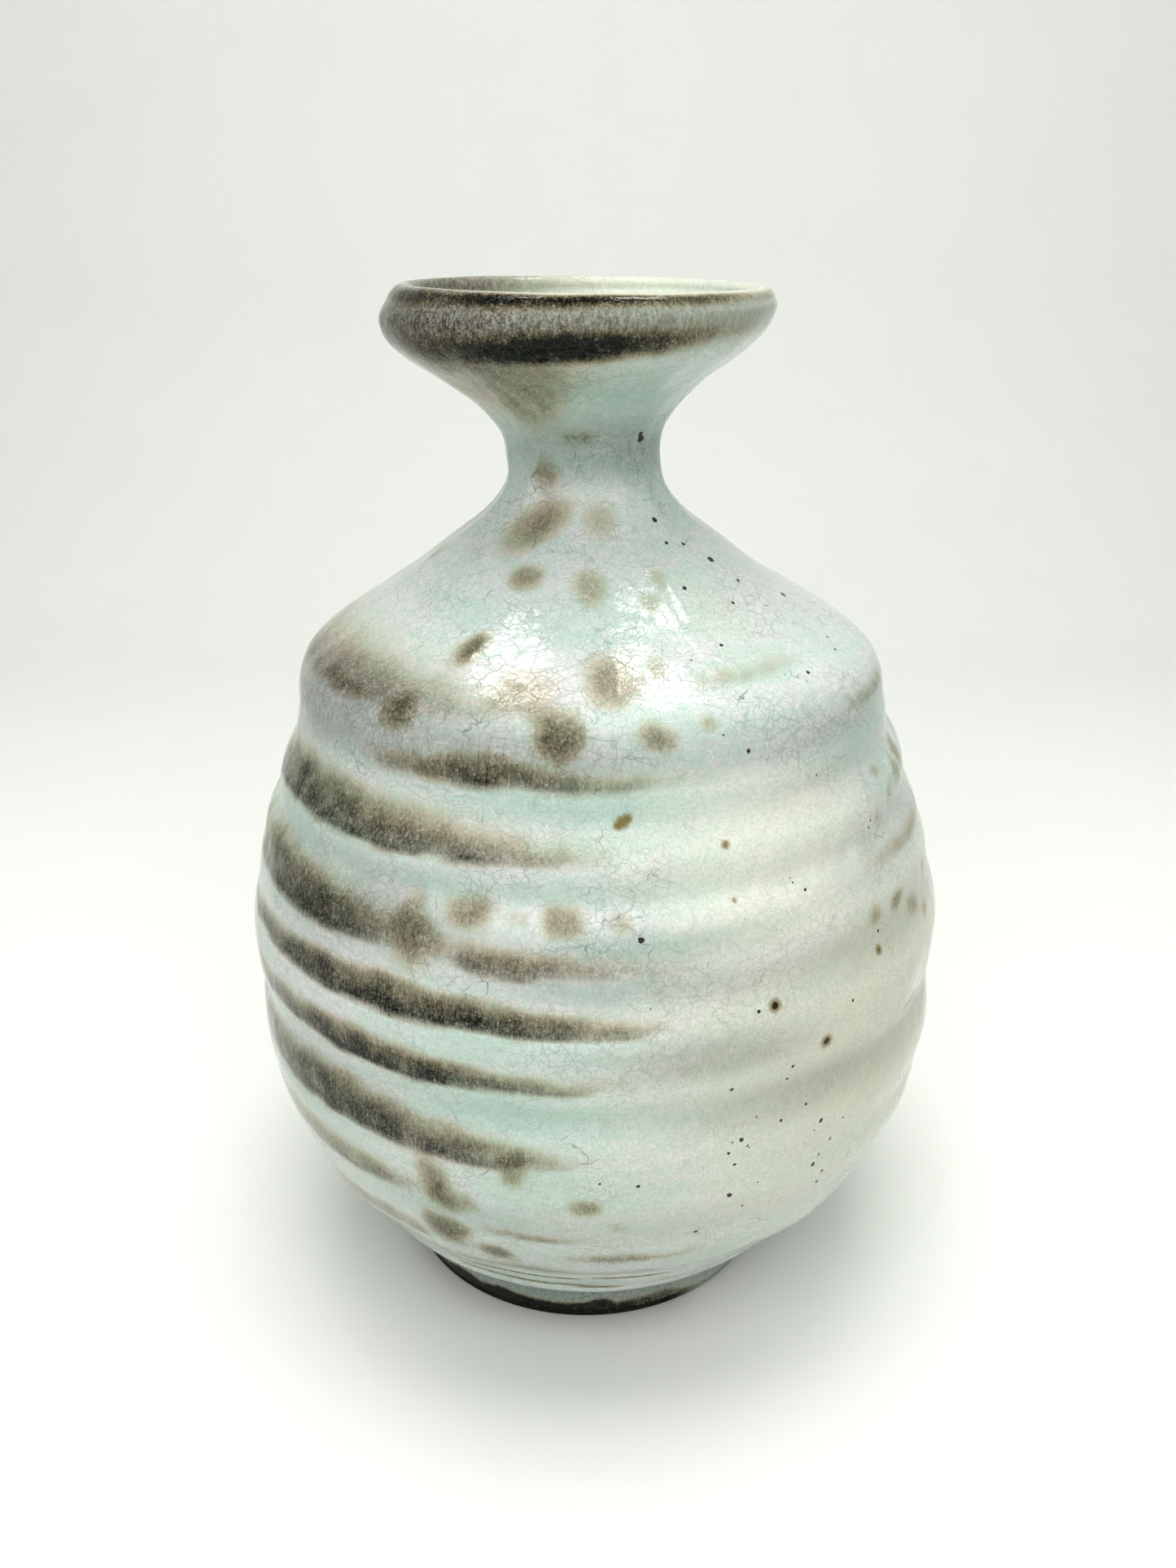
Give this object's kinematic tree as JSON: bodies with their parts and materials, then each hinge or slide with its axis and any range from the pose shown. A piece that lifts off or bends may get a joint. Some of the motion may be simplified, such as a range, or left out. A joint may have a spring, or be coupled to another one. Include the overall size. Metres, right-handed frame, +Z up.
{
  "type": "bud vase",
  "caption": "Round-bellied glazed ceramic bud vase with sloping shoulder, narrow neck, flared cup mouth and trimmed foot ring.",
  "frame": {"origin": "middle of the foot ring's resting face, on the axis of the wheel the vase was thrown on", "axes": "+Z up along the vase's axis; +X to the right and -Y towards the viewer of the side with the brown bands"},
  "size_m": [0.1154, 0.1154, 0.165],
  "materials": {
    "clay": "matte",
    "bare_clay": "matte",
    "glaze": "gloss",
    "liner_glaze": "gloss"
  },
  "bodies": {
    "root": {"foot_ring": "bare_clay", "base_floor": "clay", "lower_wall": "clay", "lower_belly": "clay", "middle_belly": "clay", "upper_belly": "clay", "shoulder_bend": "clay", "shoulder_slope": "clay", "neck_tube": "clay", "mouth_cup": "clay", "lip": "clay", "outer_glaze": "glaze", "inner_glaze": "liner_glaze"}
  },
  "joints": []
}
